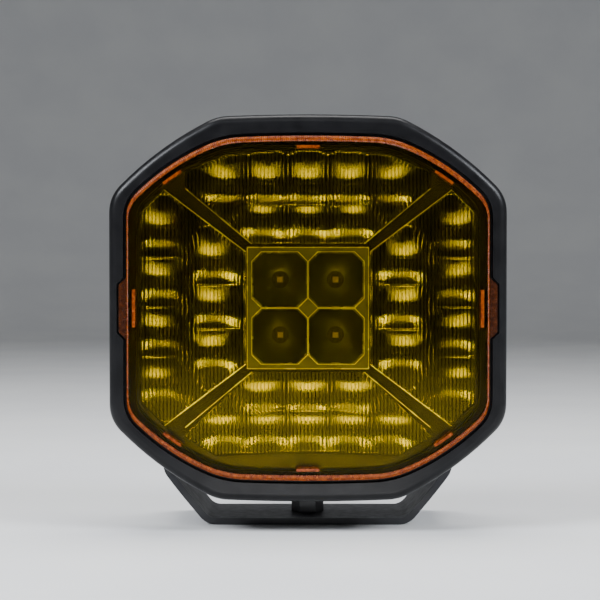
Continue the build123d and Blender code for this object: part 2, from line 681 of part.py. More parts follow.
with BuildPart() as driver_inductor:
    with BuildSketch(back_plane(DRIVER_BOARD_BACK_Y)):
        with Locations((INDUCTOR_X, 0)):
            Circle(INDUCTOR_R)
            Circle(INDUCTOR_HOLE_R, mode=Mode.SUBTRACT)
    extrude(amount=INDUCTOR_HEIGHT)
    fillet(driver_inductor.edges().filter_by(GeomType.CIRCLE), radius=INDUCTOR_ROUND)
save(driver_inductor, "driver_inductor")

with BuildPart() as driver_capacitors:
    with BuildSketch(back_plane(DRIVER_BOARD_BACK_Y)):
        with Locations(CAPACITOR_PLACES):
            Circle(CAPACITOR_R)
    extrude(amount=CAPACITOR_HEIGHT)
    fillet(driver_capacitors.edges().group_by(Axis.Y)[-1], radius=CAPACITOR_ROUND)
save(driver_capacitors, "driver_capacitors")

with BuildPart() as driver_chips:
    with BuildSketch(back_plane(DRIVER_BOARD_BACK_Y)):
        with Locations(column(3, CHIP_PITCH, CHIP_X)):
            Rectangle(CHIP[0], CHIP[1])
    extrude(amount=CHIP[2])
save(driver_chips, "driver_chips")

# ---- Rear cover with its seal, screws, cable inlet and breather ----
SEAL_THICKNESS = 1.5
COVER_SEAT_Y = POCKET_BACK_Y + SEAL_THICKNESS
REAR_COVER = 3.0
REAR_COVER_CHAMFER = 1.0
REAR_FACE_Y = COVER_SEAT_Y + REAR_COVER
GLAND_PLACE = (0.0, -14.0)
GLAND_HOLE_R = 6.0
GLAND_BORE_R = 3.6
GLAND_HEX_R = 9.2
GLAND_HEX_HEIGHT = 5.0
GLAND_DOME_R = 7.6
GLAND_DOME_HEIGHT = 9.0
GLAND_DOME_ROUND = 2.5
GLAND_THREAD_LENGTH = 9.0
GLAND_END_Y = REAR_FACE_Y + GLAND_HEX_HEIGHT + GLAND_DOME_HEIGHT
LOCKNUT_HEIGHT = 4.0
VENT_PLACE = (0.0, 16.0)
VENT_HOLE_R = 3.0
VENT_CAP_R = 6.5
VENT_CAP_HEIGHT = 4.0
VENT_CAP_ROUND = 1.5
VENT_STEM = 6.0

with BuildPart() as rear_cover_seal:
    with BuildSketch(back_plane(POCKET_BACK_Y)):
        RectangleRounded(*POCKET, POCKET_CORNER)
        RectangleRounded(POCKET[0] - 2 * POCKET_WALL, POCKET[1] - 2 * POCKET_WALL, POCKET_CORNER / 2,
                         mode=Mode.SUBTRACT)
        with Locations(COVER_SCREWS):
            Circle(SCREW_BOSS_R)
            Circle(SCREW_R + SCREW_HOLE_GAP, mode=Mode.SUBTRACT)
    extrude(amount=SEAL_THICKNESS)
save(rear_cover_seal, "rear_cover_seal")

with BuildPart() as rear_cover:
    with BuildSketch(back_plane(COVER_SEAT_Y)):
        RectangleRounded(*POCKET, POCKET_CORNER)
        with Locations(COVER_SCREWS):
            Circle(SCREW_R + SCREW_HOLE_GAP, mode=Mode.SUBTRACT)
        with Locations(GLAND_PLACE):
            Circle(GLAND_HOLE_R + THREAD_CLEARANCE, mode=Mode.SUBTRACT)
        with Locations(VENT_PLACE):
            Circle(VENT_HOLE_R + THREAD_CLEARANCE, mode=Mode.SUBTRACT)
    extrude(amount=REAR_COVER)
    chamfer(rear_cover.faces().sort_by(Axis.Y)[-1].outer_wire().edges(), length=REAR_COVER_CHAMFER)
save(rear_cover, "rear_cover")

rear_cover_screws = pan_screws(back_plane(REAR_FACE_Y), COVER_SCREWS, SCREW_R,
                              COVER_SCREW_DEPTH, *PAN_HEAD)
save(rear_cover_screws, "rear_cover_screws")

with BuildPart() as cable_gland:
    with BuildSketch(back_plane(REAR_FACE_Y)):
        with Locations(GLAND_PLACE):
            RegularPolygon(GLAND_HEX_R, 6)
    extrude(amount=GLAND_HEX_HEIGHT)
    with BuildSketch(back_plane(REAR_FACE_Y + GLAND_HEX_HEIGHT)):
        with Locations(GLAND_PLACE):
            Circle(GLAND_DOME_R)
    extrude(amount=GLAND_DOME_HEIGHT)
    fillet(cable_gland.edges().group_by(Axis.Y)[-1], radius=GLAND_DOME_ROUND)
    with BuildSketch(back_plane(REAR_FACE_Y)):
        with Locations(GLAND_PLACE):
            Circle(GLAND_HOLE_R)
    extrude(amount=-GLAND_THREAD_LENGTH)
    with Locations(back_plane(GLAND_END_Y)):
        with Locations(GLAND_PLACE):
            Hole(GLAND_BORE_R, depth=GLAND_HEX_HEIGHT + GLAND_DOME_HEIGHT + GLAND_THREAD_LENGTH)
save(cable_gland, "cable_gland")

with BuildPart() as gland_locknut:
    with BuildSketch(back_plane(COVER_SEAT_Y)):
        with Locations(GLAND_PLACE):
            RegularPolygon(GLAND_HEX_R, 6)
            Circle(GLAND_HOLE_R + THREAD_CLEARANCE, mode=Mode.SUBTRACT)
    extrude(amount=-LOCKNUT_HEIGHT)
save(gland_locknut, "gland_locknut")

with BuildPart() as breather_vent:
    with BuildSketch(back_plane(REAR_FACE_Y)):
        with Locations(VENT_PLACE):
            Circle(VENT_CAP_R)
    extrude(amount=VENT_CAP_HEIGHT)
    fillet(breather_vent.edges().group_by(Axis.Y)[-1], radius=VENT_CAP_ROUND)
    with BuildSketch(back_plane(REAR_FACE_Y)):
        with Locations(VENT_PLACE):
            Circle(VENT_HOLE_R)
    extrude(amount=-VENT_STEM)
save(breather_vent, "breather_vent")


# ---- Tilt pivot: bolt, washer and bush on each side ----
def arm_plane(x, hand):
    """The plane across the tilt axis at X = hand * x, looking away from the lamp."""
    return Plane(origin=(hand * x, 0, PIVOT_Z), x_dir=(0, 1, 0), z_dir=(hand, 0, 0))


BUSH_R = 11.0
WASHER_R = 9.0
WASHER_THICKNESS = 1.6
WASHER_X = ARM_OUTER_X + 0.1
HEAD_X = WASHER_X + WASHER_THICKNESS
BOLT_HEAD_R = 7.5
BOLT_HEAD_HEIGHT = 5.5
BOLT_GRIP = 16.0               # how far the bolt screws into its boss

with BuildPart() as pivot_bushes:
    for side in (-1, 1):
        with BuildSketch(arm_plane(BOSS_FACE_X, side)):
            Circle(BUSH_R)
            Circle(BOLT_R + THREAD_CLEARANCE, mode=Mode.SUBTRACT)
        extrude(amount=BUSH_THICKNESS)
save(pivot_bushes, "pivot_bushes")

with BuildPart() as pivot_washers:
    for side in (-1, 1):
        with BuildSketch(arm_plane(WASHER_X, side)):
            Circle(WASHER_R)
            Circle(BOLT_R + THREAD_CLEARANCE, mode=Mode.SUBTRACT)
        extrude(amount=WASHER_THICKNESS)
save(pivot_washers, "pivot_washers")

with BuildPart() as pivot_bolts:
    for side in (-1, 1):
        with BuildSketch(arm_plane(HEAD_X, side)):
            RegularPolygon(BOLT_HEAD_R, 6)
        extrude(amount=BOLT_HEAD_HEIGHT)
        with BuildSketch(arm_plane(HEAD_X, side)):
            Circle(BOLT_R)
        extrude(amount=-(HEAD_X - BOSS_FACE_X + BOLT_GRIP))
save(pivot_bolts, "pivot_bolts")
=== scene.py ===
import json
import math

import bmesh
import bpy
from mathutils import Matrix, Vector


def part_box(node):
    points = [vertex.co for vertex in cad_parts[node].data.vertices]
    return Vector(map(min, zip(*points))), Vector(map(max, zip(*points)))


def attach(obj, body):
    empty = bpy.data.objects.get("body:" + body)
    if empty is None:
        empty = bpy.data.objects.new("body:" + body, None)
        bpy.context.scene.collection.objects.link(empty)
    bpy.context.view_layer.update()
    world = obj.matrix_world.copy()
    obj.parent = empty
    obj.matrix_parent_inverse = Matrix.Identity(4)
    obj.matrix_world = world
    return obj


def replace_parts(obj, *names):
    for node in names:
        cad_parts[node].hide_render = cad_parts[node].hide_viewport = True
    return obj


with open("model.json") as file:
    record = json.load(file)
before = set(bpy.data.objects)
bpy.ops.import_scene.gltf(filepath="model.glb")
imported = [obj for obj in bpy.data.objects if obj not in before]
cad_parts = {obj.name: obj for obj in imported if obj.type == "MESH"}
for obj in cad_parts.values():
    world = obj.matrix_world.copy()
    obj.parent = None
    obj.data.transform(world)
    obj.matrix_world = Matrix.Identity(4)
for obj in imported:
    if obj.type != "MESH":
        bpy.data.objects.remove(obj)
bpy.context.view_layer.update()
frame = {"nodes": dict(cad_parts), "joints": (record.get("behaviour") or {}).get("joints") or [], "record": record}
NODES = frame["nodes"]

# Places that the frame gives, in metres.
PIVOT = Vector(frame["joints"][0]["pos_m"])
FACE_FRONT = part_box("bezel")[0].y


# ---- Camera, lights and floor ----
def add_camera():
    """A long lens in front of the lamp's face, raised a little above its centre."""
    lens_mm = 100.0
    sensor_width_mm = 36.0
    distance = 0.955
    off_centre, above_centre = -0.0046, 0.0049
    aim = Vector((off_centre, FACE_FRONT, PIVOT.z + above_centre))
    raise_angle = math.radians(1.2)
    data = bpy.data.cameras.new("camera")
    data.lens = lens_mm
    data.sensor_width = sensor_width_mm
    camera = bpy.data.objects.new("camera", data)
    away = Vector((0.0, -math.cos(raise_angle), math.sin(raise_angle)))
    camera.location = aim + distance * away
    camera.rotation_euler = away.to_track_quat("Z", "Y").to_euler()
    bpy.context.scene.collection.objects.link(camera)
    bpy.context.scene.camera = camera


def add_area_light(name, place, size, power, colour=(1.0, 1.0, 1.0), aim=PIVOT):
    """A rectangular soft box, aimed at the lamp's face unless another point is given."""
    data = bpy.data.lights.new(name, "AREA")
    data.shape = "RECTANGLE"
    data.size, data.size_y = size
    data.energy = power
    data.color = colour
    light = bpy.data.objects.new(name, data)
    light.location = place
    light.rotation_euler = (Vector(place) - Vector(aim)).to_track_quat("Z", "Y").to_euler()
    light.visible_camera = False
    bpy.context.scene.collection.objects.link(light)


def add_lights():
    """Two soft boxes at the front corners, one overhead, a strip in front and a card on the floor."""
    cool = (0.90, 0.94, 1.0)
    card_place = (0.0, -0.2, 0.006)
    above_card = (0.0, -0.2, 1.0)
    sky_colour = (0.62, 0.64, 0.68, 1.0)
    sky_strength = 0.09
    add_area_light("key_left", (-1.0, -0.75, 1.05), (0.7, 0.5), 40.0, cool)
    add_area_light("key_right", (1.05, -0.7, 0.95), (0.6, 0.5), 32.0, cool)
    add_area_light("top", (0.0, 0.15, 1.5), (1.2, 0.5), 24.0)
    add_area_light("front_strip", (0.0, -1.5, 1.3), (0.35, 0.6), 1.9)
    add_area_light("low_card", card_place, (0.14, 0.18), 0.36, aim=above_card)
    world = bpy.data.worlds.new("studio")
    world.use_nodes = True
    sky = world.node_tree.nodes["Background"]
    sky.inputs["Color"].default_value = sky_colour
    sky.inputs["Strength"].default_value = sky_strength
    bpy.context.scene.world = world


def add_floor():
    """A plain pale floor that curves up into a round backdrop far from the lamp."""
    mesh = bpy.data.meshes.new("floor")
    build = bmesh.new()
    reach, height, radius = 4.0, 4.0, 1.5
    hub = 0.01
    steps, sectors = 12, 64
    profile = [(hub, 0.0)]
    for i in range(steps + 1):
        turn = math.pi / 2 * i / steps
        profile.append((reach - radius + radius * math.sin(turn), radius - radius * math.cos(turn)))
    profile.append((reach, height))
    rings = []
    for i in range(sectors):
        turn = 2 * math.pi * i / sectors
        rings.append([build.verts.new((r * math.cos(turn), r * math.sin(turn), z)) for r, z in profile])
    for ring, following in zip(rings, rings[1:] + rings[:1]):
        for i in range(len(profile) - 1):
            build.faces.new((ring[i], following[i], following[i + 1], ring[i + 1]))
    build.faces.new([ring[0] for ring in rings])
    build.to_mesh(mesh)
    build.free()
    mesh.polygons.foreach_set("use_smooth", [True] * len(mesh.polygons))
    floor = bpy.data.objects.new("floor", mesh)
    bpy.context.scene.collection.objects.link(floor)
    floor.data.materials.append(floor_material())


# ---- Material building blocks ----
NOISE_RANGE = (0.3, 0.7)       # where most of a noise pattern's values lie


class Shader:
    """A node material with one Principled shader and helpers that keep each finish short."""

    def __init__(self, name):
        self.material = bpy.data.materials.new(name)
        self.material.use_nodes = True
        self.tree = self.material.node_tree
        self.bsdf = self.tree.nodes["Principled BSDF"]
        self.coordinates = None

    def set(self, **values):
        for key, value in values.items():
            self.bsdf.inputs[SOCKETS[key]].default_value = value
        return self

    def node(self, kind, **properties):
        made = self.tree.nodes.new(kind)
        for key, value in properties.items():
            setattr(made, key, value)
        return made

    def link(self, source, target):
        self.tree.links.new(source, target)

    def place(self):
        """Object coordinates, which are metres in the lamp's own frame."""
        if self.coordinates is None:
            self.coordinates = self.node("ShaderNodeTexCoord").outputs["Object"]
        return self.coordinates

    def noise(self, scale, detail=3.0, stretch=None):
        """Noise of so many features a metre, stretched along an axis if asked."""
        made = self.node("ShaderNodeTexNoise")
        made.inputs["Scale"].default_value = scale
        made.inputs["Detail"].default_value = detail
        source = self.place()
        if stretch:
            mapping = self.node("ShaderNodeMapping")
            mapping.inputs["Scale"].default_value = stretch
            self.link(source, mapping.inputs["Vector"])
            source = mapping.outputs["Vector"]
        self.link(source, made.inputs["Vector"])
        return made.outputs["Fac"]

    def ramp(self, source, low, high, start=0.35, stop=0.65):
        """Maps a pattern to two colours."""
        made = self.node("ShaderNodeValToRGB")
        made.color_ramp.elements[0].position = start
        made.color_ramp.elements[0].color = (*low, 1.0)
        made.color_ramp.elements[1].position = stop
        made.color_ramp.elements[1].color = (*high, 1.0)
        self.link(source, made.inputs["Fac"])
        return made.outputs["Color"]

    def between(self, source, low, high):
        """Maps a 0 to 1 pattern to a range of one number."""
        made = self.node("ShaderNodeMapRange")
        made.inputs["From Min"].default_value, made.inputs["From Max"].default_value = NOISE_RANGE
        made.inputs["To Min"].default_value = low
        made.inputs["To Max"].default_value = high
        self.link(source, made.inputs["Value"])
        return made.outputs["Result"]

    def colour(self, source, low, high, start=0.35, stop=0.65):
        self.link(self.ramp(source, low, high, start, stop), self.bsdf.inputs["Base Color"])
        return self

    def roughness(self, source, low, high):
        self.link(self.between(source, low, high), self.bsdf.inputs["Roughness"])
        return self

    def bump(self, source, strength, distance):
        made = self.node("ShaderNodeBump")
        made.inputs["Strength"].default_value = strength
        made.inputs["Distance"].default_value = distance
        self.link(source, made.inputs["Height"])
        self.link(made.outputs["Normal"], self.bsdf.inputs["Normal"])
        return self


SOCKETS = {
    "roughness": "Roughness",
    "metallic": "Metallic",
    "ior": "IOR",
    "transmission": "Transmission Weight",
    "coat": "Coat Weight",
    "coat_roughness": "Coat Roughness",
    "specular": "Specular IOR Level",
}


def floor_material():
    """Matt grey paper with the faintest mottling."""
    shader = Shader("floor")
    shader.colour(shader.noise(6.0), (0.60, 0.60, 0.60), (0.64, 0.64, 0.63))
    shader.set(roughness=0.75)
    return shader.material


def powder_coat(name, base, roughness=(0.36, 0.5), specular=0.5):
    """Satin black paint with a fine orange-peel texture and faint dust."""
    shader = Shader(name)
    dust = shader.noise(60.0, 4.0)
    shader.colour(dust, base, tuple(c * 1.5 + 0.002 for c in base))
    shader.roughness(shader.noise(220.0, 3.0), *roughness)
    shader.bump(shader.noise(1400.0, 2.0), 0.12, 0.0001)
    shader.set(specular=specular)
    return shader.material


def satin_plastic(name, base, roughness=(0.42, 0.55), grain=2200.0):
    """Moulded plastic with a fine even grain."""
    shader = Shader(name)
    shader.colour(shader.noise(90.0, 3.0), base, tuple(c * 1.3 + 0.001 for c in base))
    shader.roughness(shader.noise(300.0, 2.0), *roughness)
    shader.bump(shader.noise(grain, 2.0), 0.1, 0.00008)
    return shader.material


def brushed_metal(name, dark, light):
    """Stainless or zinc-plated steel with fine turning marks."""
    shader = Shader(name)
    marks = shader.noise(500.0, 4.0, stretch=(1.0, 6.0, 1.0))
    shader.colour(marks, dark, light)
    shader.roughness(marks, 0.22, 0.4)
    shader.bump(marks, 0.08, 0.00005)
    shader.set(metallic=1.0)
    return shader.material


def clear_plastic(name, tint, ior):
    """Polished transparent moulding, with the faintest waviness in its surface."""
    shader = Shader(name)
    shader.colour(shader.noise(25.0, 1.0), tuple(c * 0.97 for c in tint), tint)
    shader.bump(shader.noise(35.0, 1.0), 0.02, 0.0004)
    shader.set(transmission=1.0, roughness=0.02, ior=ior)
    return shader.material


def fluted_plastic(name, tint):
    """Clear moulding with painted shade in its upright grooves: the tint is darker there than on its ridges,
    standing in for light that the grooves bend away.
    """
    flute_pitch = 0.0021
    wave_turns = 20.0          # radians of the wave texture for one unit of its scaled coordinate
    shader = Shader(name)
    groove_shade = shader.node("ShaderNodeTexWave", bands_direction="X")
    groove_shade.inputs["Scale"].default_value = 2 * math.pi / (wave_turns * flute_pitch)
    shader.link(shader.place(), groove_shade.inputs["Vector"])
    # Painted shade: the wave darkens the tint to 0.4 of itself in each groove.
    shader.colour(groove_shade.outputs["Fac"], tuple(c * 0.4 for c in tint), tint, 0.05, 0.6)
    shader.bump(shader.noise(300.0, 2.0), 0.03, 0.0002)
    shader.set(transmission=1.0, roughness=0.03, ior=1.49)
    return shader.material


def translucent_edge(name, dark, light):
    """Amber plastic seen through its edge, where the tint gathers."""
    shader = Shader(name)
    shader.colour(shader.noise(420.0, 3.0), dark, light)
    shader.roughness(shader.noise(500.0, 2.0), 0.16, 0.3)
    shader.bump(shader.noise(900.0, 2.0), 0.1, 0.0001)
    shader.set(transmission=0.3, ior=1.35, specular=0.25)
    return shader.material


def mirror_plate(name, tint, roughness):
    """Vacuum-metallised plastic: bright, with a slightly uneven surface."""
    shader = Shader(name)
    shader.colour(shader.noise(70.0, 3.0), tuple(c * 0.93 for c in tint), tint)
    shader.roughness(shader.noise(120.0, 3.0), *roughness)
    shader.bump(shader.noise(160.0, 2.0), 0.03, 0.0003)
    shader.set(metallic=1.0)
    return shader.material


def gloss_trim(name, base):
    """Smooth dark moulding with a soft shine."""
    shader = Shader(name)
    shader.colour(shader.noise(80.0, 3.0), base, tuple(c * 1.4 + 0.002 for c in base))
    shader.roughness(shader.noise(140.0, 2.0), 0.16, 0.26)
    shader.bump(shader.noise(500.0, 2.0), 0.04, 0.0001)
    return shader.material


def solder_mask(name, dark, light):
    """Circuit board lacquer over faint copper tracks."""
    track_scale, track_gap = 160.0, 0.06
    shader = Shader(name)
    tracks = shader.node("ShaderNodeTexBrick", offset=0.3)
    tracks.inputs["Scale"].default_value = track_scale
    tracks.inputs["Mortar Size"].default_value = track_gap
    tracks.inputs["Color1"].default_value = (*light, 1.0)
    tracks.inputs["Color2"].default_value = (*light, 1.0)
    tracks.inputs["Mortar"].default_value = (*dark, 1.0)
    shader.link(shader.place(), tracks.inputs["Vector"])
    shader.link(tracks.outputs["Color"], shader.bsdf.inputs["Base Color"])
    shader.roughness(shader.noise(400.0, 2.0), 0.3, 0.42)
    return shader.material


def phosphor(name):
    """The yellow face of an LED under its clear dome."""
    shader = Shader(name)
    shader.colour(shader.noise(1500.0, 2.0), (0.3, 0.24, 0.05), (0.42, 0.34, 0.09))
    shader.set(roughness=0.35, coat=1.0, coat_roughness=0.05)
    return shader.material


def wound_copper(name):
    """Enamelled wire wound round a ferrite ring."""
    turn_scale = 160.0
    shader = Shader(name)
    turns = shader.node("ShaderNodeTexWave", bands_direction="X")
    turns.inputs["Scale"].default_value = turn_scale
    shader.link(shader.place(), turns.inputs["Vector"])
    shader.colour(turns.outputs["Fac"], (0.10, 0.035, 0.01), (0.5, 0.2, 0.06))
    shader.bump(turns.outputs["Fac"], 0.6, 0.0004)
    shader.set(roughness=0.3)
    return shader.material


# ---- Finishes of the carried-over CAD nodes ----
def finish_nodes():
    """Makes every finish and gives each CAD node the one that its material slot names."""
    finishes = {
        "black_steel": powder_coat("black_steel", (0.014, 0.014, 0.016)),
        "black_casting": powder_coat("black_casting", (0.016, 0.016, 0.018), (0.4, 0.56)),
        # Painted shade: the bezel's black is set far darker than the other black paint and its shine weakened, so
        # its face stays near black in the pale studio.
        "bezel_black": powder_coat("bezel_black", (0.003, 0.003, 0.0035), (0.28, 0.38), 0.18),
        "zinc_steel": brushed_metal("zinc_steel", (0.34, 0.34, 0.35), (0.55, 0.55, 0.56)),
        "black_bolt": powder_coat("black_bolt", (0.02, 0.02, 0.022), (0.3, 0.42)),
        "amber": clear_plastic("amber", (0.97, 0.79, 0.03), ior=1.14),
        "amber_rim": translucent_edge("amber_rim", (0.12, 0.016, 0.001), (0.30, 0.06, 0.0015)),
        "amber_tab": translucent_edge("amber_tab", (0.03, 0.007, 0.002), (0.07, 0.016, 0.003)),
        "cup_edge": mirror_plate("cup_edge", (0.95, 0.95, 0.9), (0.22, 0.3)),
        "clear": clear_plastic("clear", (0.97, 0.98, 0.98), ior=1.12),
        "fluted_clear": fluted_plastic("fluted_clear", (0.97, 0.98, 0.95)),
        "mirror_plate": mirror_plate("mirror_plate", (0.86, 0.86, 0.83), (0.13, 0.22)),
        # Painted shade: the centre cups get the same metallised finish as the bowls with its tint cut to a smoked
        # grey, standing in for the dark surroundings that they mirror.
        "smoked_mirror": mirror_plate("smoked_mirror", (0.15, 0.16, 0.12), (0.34, 0.44)),
        "dark_trim": gloss_trim("dark_trim", (0.016, 0.015, 0.012)),
        "rubber": satin_plastic("rubber", (0.012, 0.012, 0.012), (0.6, 0.8), 900.0),
        "black_nylon": satin_plastic("black_nylon", (0.018, 0.018, 0.02)),
        "circuit_board": solder_mask("circuit_board", (0.01, 0.07, 0.03), (0.012, 0.1, 0.045)),
        "dark_board": solder_mask("dark_board", (0.02, 0.02, 0.02), (0.035, 0.035, 0.035)),
        "led_phosphor": phosphor("led_phosphor"),
        "pad_grey": satin_plastic("pad_grey", (0.2, 0.21, 0.23), (0.6, 0.75), 1200.0),
        "ferrite": wound_copper("ferrite"),
        "can": brushed_metal("can", (0.5, 0.5, 0.52), (0.7, 0.7, 0.72)),
    }
    slots = {entry["node"]: entry["material_slot"] for entry in frame["record"]["subparts"]}
    for name, obj in NODES.items():
        obj.data.materials.clear()
        obj.data.materials.append(finishes[slots[name]])
    return finishes


# ---- Mesh helpers; x and z are in millimetres from the face's centre, y is the frame's own ----
MM = 0.001


def vertex(build, x, y, z):
    """A mesh point at a place across and up the face and at a depth in metres."""
    return build.verts.new((x * MM, y, PIVOT.z + z * MM))


def skin(build, rings, closed):
    """Joins rings of points in order; a run that doesn't close on itself gets capped ends."""
    pairs = list(zip(rings, rings[1:] + rings[:1]))
    for ring, following in pairs if closed else pairs[:-1]:
        for j in range(len(ring)):
            k = (j + 1) % len(ring)
            build.faces.new((ring[j], ring[k], following[k], following[j]))
    if not closed:
        build.faces.new(rings[0][::-1])
        build.faces.new(rings[-1])


def new_piece(name, build, body, material, smooth=False):
    """Turns a bmesh into a piece that rides on a body."""
    bmesh.ops.recalc_face_normals(build, faces=build.faces)
    mesh = bpy.data.meshes.new(name)
    build.to_mesh(mesh)
    build.free()
    mesh.polygons.foreach_set("use_smooth", [smooth] * len(mesh.polygons))
    piece = bpy.data.objects.new(name, mesh)
    bpy.context.scene.collection.objects.link(piece)
    mesh.materials.append(material)
    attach(piece, body)
    return piece


# ---- Reflector bowls behind the four beam panels ----
BOWL_FOCUS = 8.5
BOWL_GRID = 0.75               # spacing of the mesh points
BOWL_SHELL = 0.8               # thickness of the mirror
BOWL_BACK_GAP = 1.5            # between the deepest point of a bowl and the reflector's back
RIDGE_GAP = 0.6                # between the highest ridges and the reflector's front
LED_HOLE_R = 3.0
CELL_ROWS = {                  # count, pitch and height of each level row
    "top": [(5, 23.4, 69.6), (3, 25.6, 50.0)],
    "bottom": [(5, 23.4, -70.2), (3, 25.6, -51.6)],
}
SIDE_COLUMNS = [(4, 29.0, 84.0), (3, 25.8, 54.0)]
SIDE_CORNERS = [(36.1, -32.7), (83.2, -68.4), (96.8, -55.0), (96.8, 55.0), (83.2, 68.4), (36.1, 32.7)]
TOP_CORNERS = [(-47.6, 88.8), (-71.1, 78.5), (-71.1, 69.3), (-32.7, 37.2), (32.7, 37.2), (71.1, 69.3),
               (71.1, 78.5), (47.6, 88.8), (24.0, 91.0), (0.0, 91.7), (-24.0, 91.0)]
BOTTOM_CORNERS = [(53.3, -86.0), (72.2, -74.6), (32.7, -37.2), (-32.7, -37.2), (-72.2, -74.6),
                  (-53.3, -86.0), (0.0, -84.4)]


def spaced(count, pitch):
    """Evenly spaced places about zero."""
    return [(i - (count - 1) / 2) * pitch for i in range(count)]


def panel_layout(panel):
    """The outline of a beam panel and the centres of its bowls."""
    if panel in CELL_ROWS:
        cells = [(x, z) for count, pitch, z in CELL_ROWS[panel] for x in spaced(count, pitch)]
        return TOP_CORNERS if panel == "top" else BOTTOM_CORNERS, cells
    hand = 1 if panel == "right" else -1
    cells = [(hand * x, z) for count, pitch, x in SIDE_COLUMNS for z in spaced(count, pitch)]
    return [(hand * x, z) for x, z in SIDE_CORNERS], cells


def inside(x, z, corners):
    """Whether a point lies in a polygon."""
    within = False
    for (x1, z1), (x2, z2) in zip(corners, corners[1:] + corners[:1]):
        if (z1 > z) != (z2 > z) and x < (x2 - x1) * (z - z1) / (z2 - z1) + x1:
            within = not within
    return within


def add_bowls(panel, material):
    """A thin shell of paraboloids that meet in ridges, cut to the panel's outline."""
    corners, cells = panel_layout(panel)
    front, back = (corner.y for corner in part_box(f"reflector_{panel}"))
    deepest = back - BOWL_BACK_GAP * MM
    foremost = front + RIDGE_GAP * MM
    build = bmesh.new()
    made = {}

    def reach(x, z):
        return min(math.hypot(x - cell_x, z - cell_z) for cell_x, cell_z in cells)

    def grid_point(i, j):
        if (i, j) not in made:
            x, z = i * BOWL_GRID, j * BOWL_GRID
            rise = max(reach(x, z), LED_HOLE_R) ** 2 / (4 * BOWL_FOCUS)
            made[i, j] = vertex(build, x, max(deepest - rise * MM, foremost), z)
        return made[i, j]

    across = [x / BOWL_GRID for x, _ in corners]
    upward = [z / BOWL_GRID for _, z in corners]
    for i in range(math.floor(min(across)), math.ceil(max(across))):
        for j in range(math.floor(min(upward)), math.ceil(max(upward))):
            x, z = (i + 0.5) * BOWL_GRID, (j + 0.5) * BOWL_GRID
            if inside(x, z, corners) and reach(x, z) > LED_HOLE_R:
                build.faces.new([grid_point(*place) for place in
                                 ((i, j), (i + 1, j), (i + 1, j + 1), (i, j + 1))])
    build.normal_update()
    bmesh.ops.solidify(build, geom=list(build.faces), thickness=BOWL_SHELL * MM)
    piece = new_piece(f"bowls_{panel}", build, "head", material, smooth=True)
    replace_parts(piece, f"reflector_{panel}")


# ---- The amber cover, built from bands that follow its edge; depths are behind its front ----
EDGE_GROW = 0.5                # how far the lens's edge lies outside the cover's
TOOTH_PITCH = 1.2
TOOTH_HEIGHT = 0.4
RIM_WIDTH = 2.9
RIM_SIDE_SHARE = 0.3           # how much of the rim's width is left at the sides
RIM_SLOPE_DEPTH = 1.4          # the rim's outer slope runs from this depth up to its crest
RIM_SLOPE_INSET = 1.3
RIM_CREST_INSET = 2.2
RIM_CREST_DEPTH = 0.1
SKIRT_INSET = 2.4
SKIRT_STEP = 0.4               # from the plate's back to where the skirt starts
PLATE_FRONT = 0.25
PLATE_BACK = 2.2
PLATE_INSET = 3.45
PLATE_STRIDE = 4               # the plate's smooth outline needs one edge point in four
SAME_DEPTH = 0.1
RECESS_DEPTH = 4.7             # from the bezel's face to the back of the cover's skirt
CLIP_FRONT = 0.1
LEG_INSETS = (5.4, 7.0)
LEG_PLACES = [(0, 94), (0, -94), (78, 75), (-78, 75), (78, -75), (-78, -75)]
LEG_HALF = 6.0
LEG_PAST_SKIRT = 2.6
RIB_INSETS = (3.2, 5.0)
RIB_HALF = 10.0
TAB_OUT = 4.8
TAB_HALVES = (18.0, 13.6)      # half the tab's height at its root and at its tip
TAB_DEPTHS = (2.9, 5.1)
TAB_ROUND = 0.35


def lens_rim():
    """The corners of the lens's outline, in order round the face."""
    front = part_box("lens")[0].y
    rim = [v.co for v in NODES["lens"].data.vertices if abs(v.co.y - front) < SAME_DEPTH * MM]
    corners = {(round(v.x / MM, 3), round((v.z - PIVOT.z) / MM, 3)) for v in rim}
    return [Vector(corner) for corner in sorted(corners, key=lambda p: math.atan2(p[1], p[0]))]


def cover_edge(step):
    """Evenly spaced points along the cover's edge, an even number, each with its inward direction."""
    rim = lens_rim()
    spans = [(start, end, (end - start).length) for start, end in zip(rim, rim[1:] + rim[:1])]
    whole = sum(length for _, _, length in spans)
    count = 2 * round(whole / step / 2)
    stations = []
    passed = 0.0
    for start, end, length in spans:
        while len(stations) < count and len(stations) * whole / count < passed + length:
            stations.append(start.lerp(end, (len(stations) * whole / count - passed) / length))
        passed += length
    edge = []
    for i, place in enumerate(stations):
        along = stations[(i + 1) % count] - stations[i - 1]
        inward = Vector((-along.y, along.x)).normalized()
        edge.append((place + EDGE_GROW * inward, inward))
    return edge


def near(edge, place, half_length):
    """The stretch of the edge about its point nearest to a place."""
    middle = min(range(len(edge)), key=lambda i: (edge[i][0] - Vector(place)).length)
    reach = math.ceil(half_length / (edge[1][0] - edge[0][0]).length)
    return [edge[(middle + i) % len(edge)] for i in range(-reach, reach + 1)]


def side_taper(inward):
    """How wide the rim is at a place on the edge: full above and below, narrow at the sides."""
    return RIM_SIDE_SHARE + (1 - RIM_SIDE_SHARE) * abs(inward.y)


def add_band(build, edge, profile, tapered=False, tooth=0.0):
    """Sweeps a profile of (inset, depth) along the edge. A tapered band goes all the way round,
    and every second station is set in by the tooth's height."""
    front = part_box("amber_cover")[0].y
    rings = []
    for i, (place, inward) in enumerate(edge):
        ring = []
        for inset, depth in profile:
            bite = tooth if i % 2 and inset > 0.0 else 0.0
            spot = place + inward * (inset + bite) * (side_taper(inward) if tapered else 1.0)
            ring.append(vertex(build, spot.x, front + (depth + bite / 2) * MM, spot.y))
        rings.append(ring)
    skin(build, rings, closed=tapered)


